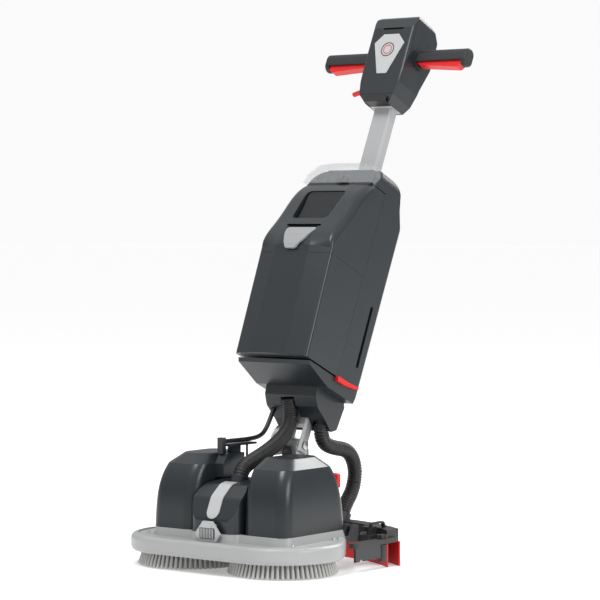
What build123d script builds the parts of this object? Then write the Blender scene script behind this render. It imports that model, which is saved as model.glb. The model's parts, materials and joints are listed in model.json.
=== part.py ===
from build123d import *
import os
from math import cos, degrees, pi, radians, sin, tan

# Wet dry floor scrubber, in millimetres, +Z up.
# The front faces -Y and the person stands on the +Y side. The brushes rest on z = 0.
# The deck is drawn about the brush line; the body, column and head are drawn in the leaning
# column's own frame: x across, w rearward from the column's middle, u up the column.

os.makedirs("parts", exist_ok=True)

# Brushes and deck
brush_spacing = 246.0
brush_tip_radius = 120.0
brush_gap = 4.0
brush_line_y = -268.0
disc_radius = 100.0
disc_thickness = 12.0
bristle_length = 34.0
bristle_ring = 46.0
bristle_flare = 11.0
shaft_radius = 8.0
running_gap = 0.05
lip_radius = 131.0
lip_bottom = 31.0
lip_top = 68.0
lip_round = 11.0
channel_depth = 3.0
channel_inset = 15.0
well_ceiling = 56.0
rear_corner_x = 140.0
rear_corner_y = 123.0
rear_corner_radius = 45.0
tongue_half = 62.0
tongue_end = 242.0
wall_top = 82.0
tray_floor = 62.0
shell_wall = 3.0

# Motor covers and centre cover
cover_inner_x = 65.0
cover_overhang = 59.0
cover_front = -70.0
cover_rear = 150.0
cover_corner = 36.0
cover_height = 157.0
motor_radius = 34.0
motor_height = 96.0
gearbox_radius = 40.0
gearbox_height = 26.0
centre_front = -84.0
centre_rear = 150.0
centre_height = 105.0
cover_gap = 0.5
strip_half = 16.0
strip_thickness = 1.6
port_y = 10.0
port_tilt = 20.0
badge_thickness = 6.0

# Joint between deck and column
joint_y = brush_line_y + 201.0
joint_z = 246.0
tilt_drop = 14.0
lean = 24.5
lean_least = 0.0
lean_most = 65.0
pin_radius = 6.0
cheek_radius = 14.0
cheek_thickness = 8.0
cheek_gap = 42.0
block_half = 18.0
tower_top = 204.0
tower_base_depth = 80.0
quadrant_radius = 44.0
quadrant_slot_radius = 32.0
lock_pin_radius = 4.0

# Column
column_width = 50.0
column_depth = 28.0
column_chamfer = 5.0
column_wall = 2.5
fork_end = -16.0
fork_gap = 38.0
fork_web = 44.0
tube_start = 60.0
tube_end = 905.0
slip = 0.5

# Body
body_half = 97.5
split_w = -45.0
seam = 0.5
tank_bottom = 146.0
tank_shoulder = 392.0
tank_top = 577.0
facet_half = 46.0
body_rear = 45.0
body_top = 629.0
housing_bottom = 113.0
boss_half = 70.0
wall = 3.5
hose_radius = 16.5
hose_room = 2.5
socket_gap = 0.3
socket_floor = 2.0
tube_radius = 5.0
panel_half = 80.0
panel_thickness = 4.0
knob_radius = 15.0
lid_half = 95.0
lid_wall = 2.5
side_latch_w = -34.0
side_latch_u = 141.0
side_latch_pin = 3.0

# Head and grips
head_half = 59.0
head_depth = 51.0
head_bottom = 808.0
head_top = 1029.0
head_split = 16.0
head_wall = 3.0
collar_half = 29.5
collar_front = -21.5
collar_rear = 16.5
collar_height = 32.0
grip_w = -5.0
grip_u = 938.0
grip_start = 63.0
grip_length = 134.0
grip_radius = 16.0
grip_hook = 13.0
trigger_pin = 2.0
trigger_half = 10.0
trigger_gap = 0.8

# Squeegee
bar_reach = 245.0
bar_end_y = 222.0
bar_middle_y = 300.0
bar_half = 17.0
bar_bottom = 52.0
bar_top = 78.0
blade_thickness = 4.0
wing_outer = 254.0
wing_inner = 232.0
wing_front = 86.0
hinge_y = 172.0
hinge_z = 80.0
hinge_x = 172.0
hinge_pin = 3.0
guard_x = 243.0
roller_radius = 9.0

line = brush_line_y
brush_centre = brush_spacing / 2
cover_outer_x = brush_centre + cover_overhang
lean_sin = sin(radians(lean))
lean_cos = cos(radians(lean))
column = Plane(origin=(0, joint_y, joint_z), x_dir=(1, 0, 0), z_dir=(0, lean_sin, lean_cos))
side = Plane(origin=column.origin, x_dir=column.y_dir, z_dir=(1, 0, 0))
front = Plane(origin=column.origin, x_dir=(1, 0, 0), z_dir=column.y_dir * -1)
SIDES = (("left", -1), ("right", 1))


def in_row(x, w, u):
    """A point of the column's frame, given in the frame of the whole machine."""
    return column.from_local_coords((x, w, u))


def outline(points, radius=0.0, corners=None, mode=Mode.ADD):
    """A closed outline in the current sketch, with the chosen corners rounded."""
    face = Polygon(*points, align=None, mode=Mode.PRIVATE).face()
    if radius:
        rounded = points if corners is None else corners
        picked = [v for v in face.vertices() if min(abs(v.X - x) + abs(v.Y - y) for x, y in rounded) < 0.01]
        face = face.fillet_2d(radius, picked)
    add(face, mode=mode)


# ---------------------------------------------------------------- deck shell
def deck_outline(reach):
    """The deck's outline: round the two brushes in front and two smaller corners behind."""
    with Locations((-brush_centre, line), (brush_centre, line)):
        Circle(lip_radius + reach)
    with Locations((-rear_corner_x, line + rear_corner_y), (rear_corner_x, line + rear_corner_y)):
        Circle(rear_corner_radius + reach)
    make_hull()


def wall_outline(reach, mode=Mode.ADD):
    """The raised ring that the covers stand on, with its nose under the centre cover."""
    depth = cover_rear - cover_front
    with Locations((0, line + (cover_rear + cover_front) / 2)):
        RectangleRounded(2 * (cover_outer_x + reach), depth + 2 * reach, cover_corner + reach, mode=mode)
    with Locations((0, line + centre_front / 2)):
        RectangleRounded(2 * (cover_inner_x + reach), 2 * reach - centre_front, 24 + reach, mode=mode)


with BuildPart() as deck_shell:
    with BuildSketch(Plane.XY.offset(lip_bottom)):
        deck_outline(0)
    extrude(amount=lip_top - lip_bottom)
    fillet(deck_shell.faces().sort_by(Axis.Z)[-1].edges(), lip_round)
    fillet(deck_shell.faces().sort_by(Axis.Z)[0].edges(), lip_round)
    with BuildSketch(Plane.XY.offset(lip_top - channel_depth)):
        deck_outline(-channel_inset)
    extrude(amount=channel_depth, mode=Mode.SUBTRACT)
    with BuildSketch(Plane.XY.offset(tray_floor)):
        wall_outline(8)
    with BuildSketch(Plane.XY.offset(wall_top)):
        wall_outline(2)
    loft(ruled=True)
    with BuildSketch(Plane.XY.offset(bar_bottom - 10)):
        with Locations((0, line + (tongue_end + cover_rear - 20) / 2)):
            RectangleRounded(2 * tongue_half, tongue_end - cover_rear + 20, 14)
    extrude(amount=lip_top - bar_bottom + 10)
    with BuildSketch(Plane.XY.offset(lip_bottom)):
        with Locations((0, line)):
            SlotCenterToCenter(brush_spacing, 2 * (brush_tip_radius + brush_gap))
    extrude(amount=well_ceiling - lip_bottom, mode=Mode.SUBTRACT)
    with BuildSketch(Plane.XY.offset(tray_floor)):
        wall_outline(-shell_wall - 2)
    extrude(amount=wall_top - tray_floor, mode=Mode.SUBTRACT)
    with BuildSketch(Plane.XY.offset(well_ceiling)):
        with Locations((-brush_centre, line), (brush_centre, line)):
            Circle(shaft_radius + 16)
    extrude(amount=tray_floor - well_ceiling, mode=Mode.SUBTRACT)
deck_shell.part.label = "deck_shell"
export_step(deck_shell.part, "parts/deck_shell.step")

# ---------------------------------------------------------------- motor plate, gearboxes and motors
plate_top = tray_floor + 6
with BuildPart() as motor_plate:
    with BuildSketch(Plane.XY.offset(tray_floor)):
        with Locations((0, line + 40)):
            RectangleRounded(2 * (cover_outer_x - 14), 190, 24)
        with Locations((-brush_centre, line), (brush_centre, line)):
            Circle(shaft_radius + 16, mode=Mode.SUBTRACT)
    extrude(amount=plate_top - tray_floor)
motor_plate.part.label = "motor_plate"
export_step(motor_plate.part, "parts/motor_plate.step")

for side_name, sign in SIDES:
    with BuildPart() as brush_motor:
        with Locations((sign * brush_centre, line, plate_top + gearbox_height / 2)):
            Cylinder(gearbox_radius, gearbox_height)
        with Locations((sign * brush_centre, line, plate_top + gearbox_height + motor_height / 2)):
            Cylinder(motor_radius, motor_height)
        with Locations((sign * brush_centre, line, plate_top + gearbox_height / 4)):
            Cylinder(shaft_radius + running_gap, gearbox_height / 2, mode=Mode.SUBTRACT)
    brush_motor.part.label = f"brush_motor_{side_name}"
    export_step(brush_motor.part, f"parts/brush_motor_{side_name}.step")

# ---------------------------------------------------------------- motor covers
# Each row is a level of the cover: height, and how far its outer, front and rear sides lean in.
COVER_LEVELS = ((0.0, 0.0, 0.0, 0.0), (0.36, 1.5, 3.5, 5.0), (0.7, 8.0, 15.0, 17.0), (0.86, 14.0, 29.0, 29.0))
COVER_CAP = (1.0, 36.0, 58.0, 52.0)
cap_rounding = 9.0


def cover_plane(level, drop=0.0):
    """The plane of one level of a motor cover."""
    return Plane.XY.offset(wall_top + level[0] * cover_height - drop)


def cover_section(sign, level, inset=0.0):
    """One level of a motor cover as a rounded rectangle in the current sketch."""
    height, outer, front_in, rear_in = level
    x_low = cover_inner_x + inset + (10 if level is COVER_CAP else 0)
    x_high = cover_outer_x - outer - inset
    y_low = line + cover_front + front_in + inset
    y_high = line + cover_rear - rear_in - inset
    with Locations((sign * (x_low + x_high) / 2, (y_low + y_high) / 2)):
        RectangleRounded(x_high - x_low, y_high - y_low, cover_corner - 8 - inset)


for side_name, sign in SIDES:
    with BuildPart() as motor_cover:
        for level in COVER_LEVELS:
            with BuildSketch(cover_plane(level)):
                cover_section(sign, level)
        loft()
        for level in (COVER_LEVELS[-1], COVER_CAP):
            with BuildSketch(cover_plane(level)):
                cover_section(sign, level)
        loft(ruled=True)
        fillet(motor_cover.edges().group_by(Axis.Z)[-1], cap_rounding)
        for level in COVER_LEVELS:
            with BuildSketch(cover_plane(level)):
                cover_section(sign, level, shell_wall)
        loft(mode=Mode.SUBTRACT)
        for level, drop in ((COVER_LEVELS[-1], 0), (COVER_CAP, shell_wall)):
            with BuildSketch(cover_plane(level, drop)):
                cover_section(sign, level, shell_wall)
        loft(ruled=True, mode=Mode.SUBTRACT)
    motor_cover.part.label = f"motor_cover_{side_name}"
    export_step(motor_cover.part, f"parts/motor_cover_{side_name}.step")


# ---------------------------------------------------------------- centre cover, strip and badge
def hump(inset, below=0.0):
    """The centre cover's outer shape, shrunk by inset and carried below its rim."""
    low = wall_top - below
    high = wall_top + centre_height - inset
    nose = line + centre_front + inset
    back = line + centre_rear - inset
    points = [(nose, low), (nose, high - 76), (nose + 20, high - 32), (nose + 50, high - 8), (nose + 92, high)]
    points += [(back - 74, high - 2), (back - 24, high - 28), (back, high - 70), (back, low)]
    half = cover_inner_x - cover_gap - inset
    with BuildPart() as shape:
        with BuildSketch(Plane.YZ):
            outline(points, 22, points[1:-1])
        extrude(amount=half, both=True)
        with BuildSketch(Plane.XY):
            with Locations((0, (nose + back) / 2)):
                RectangleRounded(2 * half, back - nose, 24)
        extrude(amount=high, mode=Mode.INTERSECT)
        with BuildSketch(Plane.XZ.offset(-back)):
            outline([(-half, 0), (half, 0), (half, high), (-half, high)], 30, [(half, high), (-half, high)])
        extrude(amount=back - nose, mode=Mode.INTERSECT)
    return shape.part


hump_outside = hump(0)
hump_inside = hump(shell_wall, 1)
hump_over = hump(-strip_thickness)
centre_top = wall_top + centre_height
port_dir = Vector(0, sin(radians(port_tilt)), cos(radians(port_tilt)))
port = Plane(origin=(0, line + port_y, centre_top), x_dir=(1, 0, 0), z_dir=port_dir)
with BuildPart() as centre_cover:
    add(hump_outside)
    with BuildSketch(port.offset(-14)):
        Circle(hose_radius + 4)
    extrude(amount=14 + socket_floor + 3)
    add(hump_inside, mode=Mode.SUBTRACT)
    with BuildSketch(port.offset(socket_floor)):
        Circle(hose_radius + socket_gap)
    extrude(amount=10, mode=Mode.SUBTRACT)
    with BuildSketch(port.offset(-30)):
        Circle(hose_radius - 3)
    extrude(amount=50, mode=Mode.SUBTRACT)
centre_cover.part.label = "centre_cover"
export_step(centre_cover.part, "parts/centre_cover.step")

with BuildPart() as centre_strip:
    with BuildSketch(Plane.XZ.offset(hose_radius + 12 - line - port_y)):
        with Locations((0, centre_top - 10)):
            SlotCenterToCenter(98, 2 * strip_half, rotation=90)
    extrude(amount=80)
    add(hump_over, mode=Mode.INTERSECT)
    add(hump_outside, mode=Mode.SUBTRACT)
centre_strip.part.label = "centre_strip"
export_step(centre_strip.part, "parts/centre_strip.step")

badge_back = line + centre_front - 8
badge_middle = wall_top + 5
with BuildPart() as front_badge:
    with BuildSketch(Plane.XZ.offset(-badge_back)):
        with Locations((0, badge_middle)):
            Polygon((-12, 21), (12, 21), (33, -5), (22, -21), (-22, -21), (-33, -5), align=None)
    extrude(amount=badge_thickness)
    with BuildSketch(Plane.XZ.offset(-badge_back + badge_thickness)):
        with Locations((0, badge_middle)):
            Polygon((-10, 17), (10, 17), (13, 12), (3, -15), (-3, -15), (-13, 12), align=None)
    extrude(amount=1.2)
    with BuildSketch(Plane.XZ.offset(-badge_back)):
        with Locations((0, wall_top + 12)):
            Rectangle(28, 14)
    extrude(amount=-8)
front_badge.part.label = "front_badge"
export_step(front_badge.part, "parts/front_badge.step")

# ---------------------------------------------------------------- water valve and the bar that carries its tube
valve_x = -cover_inner_x + 12
water_tube_x = -58.0
tube_start_y = 26.0
valve_top = centre_top + 50
tube_z = valve_top + 25
with BuildPart() as valve_housing:
    with BuildSketch(Plane.YZ.offset(-cover_inner_x)):
        low = centre_top + 2
        outline([(line + 6, low), (line + 76, low), (line + 76, valve_top), (line + 20, valve_top), (line + 6, low + 28)])
    extrude(amount=24)
    with Locations((water_tube_x, line + tube_start_y - 6, valve_top + 17)):
        Box(14, 12, 34)
valve_housing.part.label = "valve_housing"
export_step(valve_housing.part, "parts/valve_housing.step")

rod_y = line + 92
with BuildPart() as tube_support:
    with Locations((valve_x, line + 76, tube_z - tube_radius - 3)):
        Box(20, 90, 4)
    with Locations((valve_x, line + 56, (valve_top + tube_z - tube_radius - 5) / 2)):
        Box(12, 30, tube_z - tube_radius - 5 - valve_top)
    with Locations((valve_x + 6, rod_y, (centre_top + tube_z - tube_radius - 5) / 2)):
        Cylinder(2.5, tube_z - tube_radius - 5 - centre_top)
tube_support.part.label = "tube_support"
export_step(tube_support.part, "parts/tube_support.step")

# ---------------------------------------------------------------- brushes
disc_bottom = lip_bottom + 3
for side_name, sign in SIDES:
    with BuildPart() as brush_disc:
        with Locations((sign * brush_centre, line, disc_bottom + disc_thickness / 2)):
            Cylinder(disc_radius, disc_thickness)
        with Locations((sign * brush_centre, line, (disc_bottom + plate_top) / 2)):
            Cylinder(shaft_radius + 10, plate_top - disc_bottom - 2)
        with Locations((sign * brush_centre, line, (disc_bottom + plate_top + gearbox_height / 2) / 2)):
            Cylinder(shaft_radius, plate_top + gearbox_height / 2 - disc_bottom - 2)
    brush_disc.part.label = f"brush_disc_{side_name}"
    export_step(brush_disc.part, f"parts/brush_disc_{side_name}.step")

    tip_inner = brush_tip_radius - bristle_ring
    root = brush_tip_radius - bristle_flare
    with BuildPart() as bristles:
        with BuildSketch(Plane.XZ.offset(-line)):
            with BuildLine():
                tuft = ((tip_inner, 0), (brush_tip_radius, 0), (root, bristle_length), (tip_inner, bristle_length))
                Polyline(*tuft, close=True)
            make_face()
        revolve(axis=Axis((0, line, 0), (0, 0, 1)))
    placed = Pos(sign * brush_centre, 0, 0) * bristles.part
    placed.label = f"bristles_{side_name}"
    export_step(placed, f"parts/bristles_{side_name}.step")

# ---------------------------------------------------------------- pivot tower and tilt pin
tilt_z = joint_z - tilt_drop
cheek_span = cheek_gap + 2 * cheek_thickness
with BuildPart() as pivot_tower:
    with BuildSketch(Plane.XY.offset(lip_top)):
        with Locations((0, joint_y)):
            RectangleRounded(84, tower_base_depth, 8)
    extrude(amount=10)
    with BuildSketch(Plane.XY.offset(lip_top + 10)):
        with Locations((0, joint_y)):
            RectangleRounded(76, 76, 8)
    with BuildSketch(Plane.XY.offset(tower_top)):
        with Locations((0, joint_y)):
            RectangleRounded(46, cheek_span, 6)
    loft()
    with BuildSketch(Plane.XZ.offset(-joint_y - cheek_span / 2)):
        with Locations((0, (tower_top + tilt_z) / 2)):
            Rectangle(2 * cheek_radius, tilt_z - tower_top)
        with Locations((0, tilt_z)):
            Circle(cheek_radius)
    extrude(amount=cheek_span)
    with Locations((0, joint_y, tower_top + 50)):
        Box(100, cheek_gap, 100, mode=Mode.SUBTRACT)
    with Locations(Location((0, joint_y, tilt_z), (90, 0, 0))):
        Cylinder(pin_radius - 1, cheek_span + 2, mode=Mode.SUBTRACT)
pivot_tower.part.label = "pivot_tower"
export_step(pivot_tower.part, "parts/pivot_tower.step")

with BuildPart() as tilt_pin:
    with Locations(Location((0, joint_y, tilt_z), (90, 0, 0))):
        Cylinder(pin_radius - 1, cheek_span)
        with Locations((0, 0, cheek_span / 2 + 1.5), (0, 0, -cheek_span / 2 - 1.5)):
            Cylinder(pin_radius + 2, 3)
tilt_pin.part.label = "tilt_pin"
export_step(tilt_pin.part, "parts/tilt_pin.step")

# ---------------------------------------------------------------- knuckle
with BuildPart() as knuckle_block:
    with BuildSketch(Plane.YZ.offset(-block_half)):
        with Locations((joint_y, joint_z)):
            Circle(cheek_radius)
        with Locations((joint_y, joint_z - tilt_drop)):
            Rectangle(cheek_gap - 2, 2 * tilt_drop)
    extrude(amount=2 * block_half)
    with Locations(Location((0, joint_y, tilt_z), (90, 0, 0))):
        Cylinder(pin_radius - 1 + running_gap, cheek_gap, mode=Mode.SUBTRACT)
    with Locations(Location((0, joint_y, joint_z), (0, 90, 0))):
        Cylinder(pin_radius, 2 * block_half + 2, mode=Mode.SUBTRACT)
knuckle_block.part.label = "knuckle_block"
export_step(knuckle_block.part, "parts/knuckle_block.step")

quadrant_x = -column_width / 2 - 6
quadrant_thickness = 5.0
with BuildPart() as pitch_pin:
    with BuildSketch(Plane.YZ.offset(quadrant_x - quadrant_thickness - 3)):
        with Locations((joint_y, joint_z)):
            Circle(pin_radius)
    extrude(amount=column_width / 2 + 4 - quadrant_x + quadrant_thickness + 3)
    for place, length in ((quadrant_x - quadrant_thickness - 3, 3), (column_width / 2 + 1, 3)):
        with BuildSketch(Plane.YZ.offset(place)):
            with Locations((joint_y, joint_z)):
                Circle(pin_radius + 3)
        extrude(amount=length)
pitch_pin.part.label = "pitch_pin"
export_step(pitch_pin.part, "parts/pitch_pin.step")

# The quadrant's slot lets the lock pin travel from upright to fully laid back.
slot_middle = 90 - (lean_least + lean_most) / 2
slot_arc = lean_most - lean_least
with BuildPart() as lock_quadrant:
    with BuildSketch(Plane.YZ.offset(quadrant_x - quadrant_thickness)):
        with Locations((joint_y, joint_z)):
            Circle(quadrant_radius)
            with Locations((0, -quadrant_radius)):
                Rectangle(2 * quadrant_radius, 2 * quadrant_radius - 44, mode=Mode.SUBTRACT)
            Circle(pin_radius, mode=Mode.SUBTRACT)
            slot_ends = (slot_middle - slot_arc / 2, slot_middle + slot_arc / 2)
            slot_path = Edge.make_circle(quadrant_slot_radius, start_angle=slot_ends[0], end_angle=slot_ends[1])
            SlotArc(slot_path, 2 * lock_pin_radius + 1, mode=Mode.SUBTRACT)
    extrude(amount=quadrant_thickness)
lock_quadrant.part.label = "lock_quadrant"
export_step(lock_quadrant.part, "parts/lock_quadrant.step")


# ---------------------------------------------------------------- column fork and tube
def column_section(shrink):
    """The column's section: a rectangle with bevelled corners, shrunk on every side."""
    half_x = column_width / 2 - shrink
    half_w = column_depth / 2 - shrink
    cut = max(column_chamfer - shrink, 1.0)
    right = [(half_x - cut, -half_w), (half_x, -half_w + cut), (half_x, half_w - cut), (half_x - cut, half_w)]
    outline(right + [(-x, w) for x, w in reversed(right)])


with BuildPart() as column_fork:
    with BuildSketch(column.offset(fork_end)):
        column_section(0)
    extrude(amount=tube_start - fork_end)
    with BuildSketch(column.offset(tube_start)):
        column_section(column_wall + 0.2)
    extrude(amount=35)
    with BuildSketch(front.offset(-column_depth)):
        with Locations((0, (fork_end + fork_web) / 2 - 5)):
            Rectangle(fork_gap, fork_web - fork_end + 10)
    extrude(amount=2 * column_depth, mode=Mode.SUBTRACT)
    with BuildSketch(Plane.YZ.offset(-column_width)):
        with Locations((joint_y, joint_z)):
            Circle(pin_radius + running_gap)
    extrude(amount=2 * column_width, mode=Mode.SUBTRACT)
    with BuildSketch(side.offset(quadrant_x - quadrant_thickness - 2)):
        with Locations((0, quadrant_slot_radius)):
            Circle(lock_pin_radius)
    extrude(amount=quadrant_thickness + 8 + 3)
column_fork.part.label = "column_fork"
export_step(column_fork.part, "parts/column_fork.step")

with BuildPart() as column_tube:
    with BuildSketch(column.offset(tube_start)):
        column_section(0)
    extrude(amount=tube_end - tube_start)
    with BuildSketch(column.offset(tube_start)):
        column_section(column_wall)
    extrude(amount=tube_end - tube_start, mode=Mode.SUBTRACT)
column_tube.part.label = "column_tube"
export_step(column_tube.part, "parts/column_tube.step")

# ---------------------------------------------------------------- hose routes
# Points are across, behind the brush line and up. Each hose is cut into pieces where it passes an
# axis of the knuckle, so that each piece bends at one joint.
FRONT_LOWER = ((0, 10.684, 188.88), (0, 14.296, 198.804), (0, 20.4, 207.1), (0, 29.9, 214.5), (0, 51, 222.5))
FRONT_SEAM = (0, 75.5, 230.25)
FRONT_UPPER = ((0, 100, 238), (0, 143, 257), (-2, 174, 276), (-5, 190, 298), (-8, 194, 325), (-9.5, 189, 348))
REAR_TOP = ((47, 240.2, 306), (47, 231, 286), (47, 233, 263), (47, 247.5, 245.5), (47.5, 279, 236))
REAR_SEAM_HIGH = (47.75, 298.5, 233)
REAR_MIDDLE = ((48, 318, 230), (48.5, 337.9, 216.6), (49, 349.9, 195.8), (49.5, 352.5, 170.9))
REAR_SEAM_LOW = (49.75, 347.1, 153.75)
REAR_BASE = ((50, 341.7, 136.6), (50, 314.5, 108.31), (50, 300.001, 83.198))
TUBE_LOWER = ((-58, 26, 262), (-58, 60, 262))
TUBE_SEAM = (-58, 86, 261.8)
TUBE_UPPER = ((-58, 112, 261.6), (-58, 150, 264.6), (-58, 170, 277), (-58, 187, 302), (-58, 202.5, 327.5))


def on_deck(point):
    """A point of a hose route in the frame of the whole machine."""
    return Vector(point[0], point[1] + line, point[2])


def end_plane(inner, end):
    """The plane across a hose's end, facing the way the hose runs out."""
    return Plane(origin=on_deck(end), z_dir=on_deck(end) - on_deck(inner))


# ---------------------------------------------------------------- rear housing
shelf_top = tank_bottom - 4
panel_low = (-84.0, tank_top + 2)
panel_high = (-58.0, body_top)
front_hose_end = end_plane(FRONT_UPPER[-2], FRONT_UPPER[-1])
rear_hose_end = end_plane(REAR_TOP[1], REAR_TOP[0])
tube_end_plane = end_plane(TUBE_UPPER[-2], TUBE_UPPER[-1])

with BuildPart() as rear_housing:
    with BuildSketch(side):
        back = [(body_rear - 11, housing_bottom), (body_rear - 1, 146), (body_rear, 316), (body_rear, 516)]
        crown = [(20, body_top - 64), (8, body_top - 28), (-1, body_top - 12), (-14, body_top)]
        bed = [panel_high, panel_low, (split_w, panel_low[1])]
        shelf = [(split_w, shelf_top), (-148, shelf_top), (-144, shelf_top - 8), (-66, housing_bottom)]
        outline(back + crown + bed + shelf, 8, [back[1], back[3], crown[0], crown[1]])
    extrude(amount=body_half, both=True)
    with BuildSketch(column.offset(housing_bottom - 20)):
        rear_corners = [(body_half, body_rear), (-body_half, body_rear)]
        outline([(-body_half, -200), (body_half, -200)] + rear_corners, 10, rear_corners)
    extrude(amount=body_top, mode=Mode.INTERSECT)
    with BuildSketch(front.offset(-body_rear - 10)):
        top = [(-body_half, body_top + 2), (body_half, body_top + 2)]
        outline([(body_half, 0), top[1], top[0], (-body_half, 0)], 34, top)
    extrude(amount=260, mode=Mode.INTERSECT)
    with BuildSketch(side):
        boss = [(-66, housing_bottom + 4), (-62, 92), (-46, 72), (-8, 56), (20, 40), (body_rear - 7, 52)]
        boss += [(body_rear - 1, housing_bottom - 7), (body_rear - 8, housing_bottom + 4)]
        outline(boss, 6, boss[1:6])
    extrude(amount=boss_half, both=True)
    # hollow for the motor, fan and battery, with room behind for the column
    with BuildSketch(side):
        low = housing_bottom + wall
        hollow = [(split_w + wall, low), (28, low), (38, 150), (40, 316), (39, 508), (14, 566), (-8, 598), (-30, 612)]
        outline(hollow + [(split_w + wall, tank_top - 6)])
    extrude(amount=body_half - 17, both=True, mode=Mode.SUBTRACT)
    with BuildSketch(side):
        outline([(split_w + wall, low), (16, low), (16, 540), (split_w + wall, 560)])
    extrude(amount=body_half - wall, both=True, mode=Mode.SUBTRACT)
    # ways through for the column, both hoses and the water tube
    with BuildSketch(column.offset(20)):
        Rectangle(column_width + 2 * slip, column_depth + 2 * slip)
    extrude(amount=body_top, mode=Mode.SUBTRACT)
    for plane, radius, depth in (
        (front_hose_end, hose_radius + hose_room, 60),
        (rear_hose_end, hose_radius + hose_room, 60),
        (end_plane(REAR_TOP[2], REAR_TOP[1]), hose_radius + hose_room, 30),
        (tube_end_plane, tube_radius + 1.5, 40),
    ):
        with BuildSketch(plane.offset(-depth)):
            Circle(radius)
        extrude(amount=depth + 4, mode=Mode.SUBTRACT)
    # hole for the side latch's pin
    with BuildSketch(side.offset(body_half - 2 * wall)):
        with Locations((side_latch_w, side_latch_u)):
            Circle(side_latch_pin + running_gap)
    extrude(amount=4 * wall, mode=Mode.SUBTRACT)
    # side slots
    with BuildSketch(side.offset(-body_half - 1)):
        with Locations((13.5, 261)):
            SlotOverall(144, 9, rotation=91)
    extrude(amount=2 * body_half + 2, mode=Mode.SUBTRACT)
rear_housing.part.label = "rear_housing"
export_step(rear_housing.part, "parts/rear_housing.step")

# ---------------------------------------------------------------- battery, vacuum motor and fan
bay_gap = 5.0
battery_width = 48.0
with BuildPart() as battery:
    with BuildSketch(column.offset(190)):
        with Locations((column_width / 2 + battery_width / 2 + bay_gap, -2)):
            RectangleRounded(battery_width, 68, 6)
    extrude(amount=170)
battery.part.label = "battery"
export_step(battery.part, "parts/battery.step")

motor_radius = 27.0
motor_place = (-column_width / 2 - motor_radius - bay_gap + 1, -2.0)
fan_shaft = 4.0
with BuildPart() as vacuum_motor:
    with BuildSketch(column.offset(400)):
        with Locations(motor_place):
            Circle(motor_radius)
    extrude(amount=80)
    with BuildSketch(column.offset(480)):
        with Locations(motor_place):
            Circle(14)
    extrude(amount=14)
    with BuildSketch(column.offset(460)):
        with Locations(motor_place):
            Circle(fan_shaft + running_gap)
    extrude(amount=40, mode=Mode.SUBTRACT)
vacuum_motor.part.label = "vacuum_motor"
export_step(vacuum_motor.part, "parts/vacuum_motor.step")

with BuildPart() as vacuum_fan:
    with BuildSketch(column.offset(462)):
        with Locations(motor_place):
            Circle(fan_shaft)
    extrude(amount=50)
    with BuildSketch(column.offset(498)):
        with Locations(motor_place):
            Circle(24)
    extrude(amount=3)
    with BuildSketch(column.offset(501)):
        with Locations(motor_place):
            with PolarLocations(14, 8):
                Rectangle(16, 2)
    extrude(amount=9)
vacuum_fan.part.label = "vacuum_fan"
export_step(vacuum_fan.part, "parts/vacuum_fan.step")


# ---------------------------------------------------------------- front tank and its cover
def tank_section(edge_w, centre_w, corner):
    """One level of the front tank in the current sketch: a flat back and three facets in front."""
    right = [(body_half, split_w - seam), (body_half, edge_w), (facet_half, centre_w)]
    outline(right + [(-x, w) for x, w in reversed(right)], corner, [right[1], (-body_half, edge_w)])


# Each row is a level above the shoulder: height, side edge, centre facet and corner radius.
SHOULDER_LEVELS = (
    (0, -175, -190, 8),
    (24, -178, -184, 13),
    (58, -166, -169, 19),
    (108, -144, -147, 21),
    (165, -114, -118, 20),
    (185, -94, -98, 16),
)


def front_unit():
    """The whole front of the body: the tank below its shoulder and the cover above it."""
    with BuildPart() as shape:
        with BuildSketch(column.offset(tank_bottom)):
            tank_section(-163, -172, 8)
        with BuildSketch(column.offset(tank_shoulder)):
            tank_section(-175, -190, 8)
        loft(ruled=True)
        for rise, edge_w, centre_w, corner in SHOULDER_LEVELS:
            with BuildSketch(column.offset(tank_shoulder + rise)):
                tank_section(edge_w, centre_w, corner)
        loft()
    return shape.part


unit = front_unit()
peak = tank_shoulder
dip = tank_shoulder - 18
split_right = [(0, peak - 6), (30, peak), (facet_half + 6, dip), (body_half + 1, dip + 6)]
split_line = [(-x, u) for x, u in reversed(split_right[1:])] + split_right

with BuildPart() as recovery_tank:
    add(unit)
    with BuildSketch(front):
        outline(split_line + [(body_half + 1, 0), (-body_half - 1, 0)])
    extrude(amount=260, mode=Mode.INTERSECT)
    with BuildSketch(column.offset(tank_bottom + wall)):
        inside = [(body_half - wall, -158), (facet_half, -167), (-facet_half, -167), (-body_half + wall, -158)]
        outline([(-body_half + wall, split_w - wall), (body_half - wall, split_w - wall)] + inside)
    extrude(amount=dip - tank_bottom - 2 * wall, mode=Mode.SUBTRACT)
recovery_tank.part.label = "recovery_tank"
export_step(recovery_tank.part, "parts/recovery_tank.step")

window_low = 468.0
window_high = 551.0
scoop_low = 381.0
scoop_high = 441.0
with BuildPart() as tank_cover:
    add(unit)
    with BuildSketch(front):
        raised = [(x, u + seam) for x, u in split_line]
        outline(raised + [(body_half + 1, tank_top + 30), (-body_half - 1, tank_top + 30)])
    extrude(amount=260, mode=Mode.INTERSECT)
    with BuildSketch(side):
        outline([(split_w - wall, peak + 8), (split_w - wall, 560), (-86, 560), (-112, 500), (-145, peak + 8)])
    extrude(amount=body_half - wall, both=True, mode=Mode.SUBTRACT)
    with BuildSketch(front.offset(80)):
        outline([(-48, window_low), (48, window_low), (53, window_high), (-53, window_high)], 10)
    extrude(amount=120, mode=Mode.SUBTRACT)
    with BuildSketch(front.offset(152)):
        with Locations((0, scoop_high + 6)):
            SlotOverall(94, 6)
    extrude(amount=40, mode=Mode.SUBTRACT)
    with BuildSketch(front.offset(120)):
        outline([(-44, scoop_high + 2.9), (44, scoop_high + 2.9), (31, 410), (14, 378), (-14, 378), (-31, 410)], 6)
    extrude(amount=90, mode=Mode.SUBTRACT)
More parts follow.
